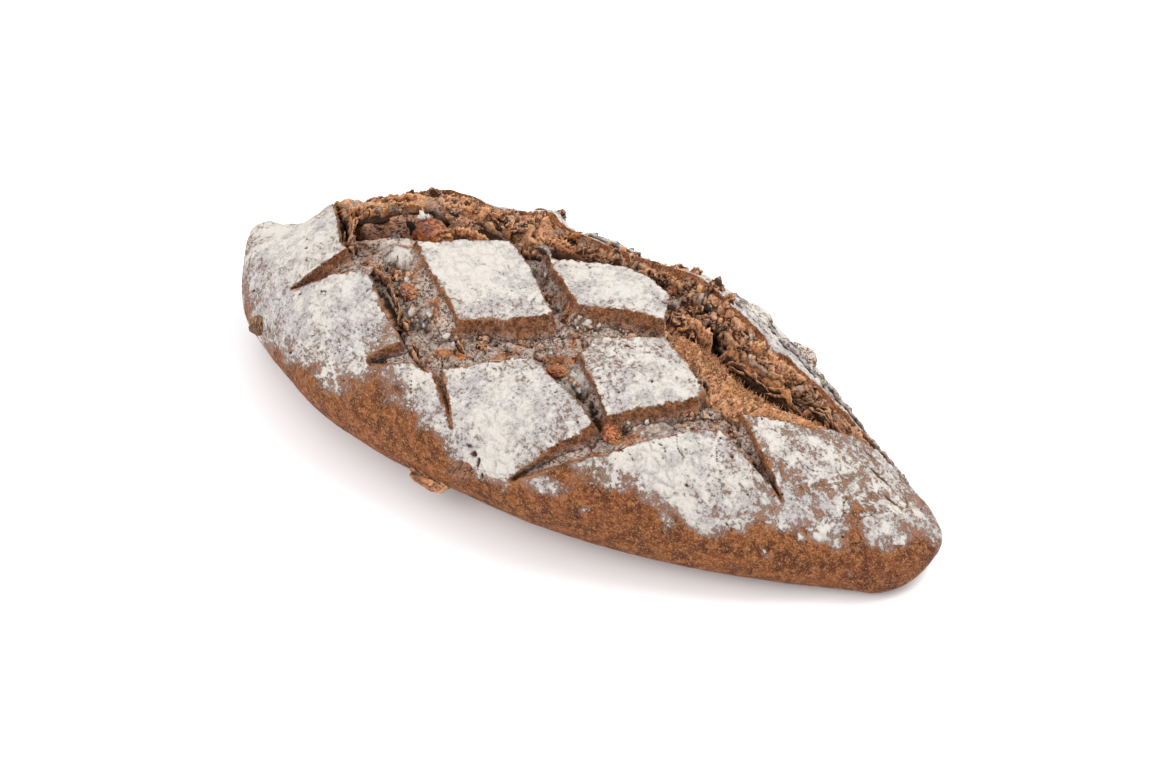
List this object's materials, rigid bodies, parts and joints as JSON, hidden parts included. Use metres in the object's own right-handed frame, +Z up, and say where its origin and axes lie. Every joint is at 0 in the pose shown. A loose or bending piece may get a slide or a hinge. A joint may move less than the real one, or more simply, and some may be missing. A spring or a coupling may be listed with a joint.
{
  "type": "walnut bread",
  "caption": "Long hearth-baked walnut loaf with pointed ends, a crust scored into floured tiles, a long burst along the crown and pieces of walnut showing.",
  "frame": {"origin": "on the table, under the middle of the loaf's length and width", "axes": "+X along the loaf towards its pointed end, -Y towards the flank with the scored tiles, +Z up"},
  "size_m": [0.28, 0.1242, 0.0588],
  "materials": {
    "crust": "matt browned crust with a grain, dusted with white flour on the tiles",
    "crumb": "matt torn crumb, orange brown, with dark caves",
    "walnut": "baked walnut kernel, half matt and slightly oily",
    "flour": "dry matt flour, in patches and small lumps"
  },
  "bodies": {
    "root": {"loaf": "crust", "walnut_in_tear": "walnut", "walnut_at_blunt_end": "walnut", "walnut_at_foot": "walnut", "walnut_far_flank_a": "walnut", "walnut_far_flank_b": "walnut", "walnut_in_middle_cut": "walnut", "walnut_under_tile": "walnut", "walnut_in_first_cut": "walnut", "walnut_in_front_flank": "walnut"}
  },
  "joints": []
}
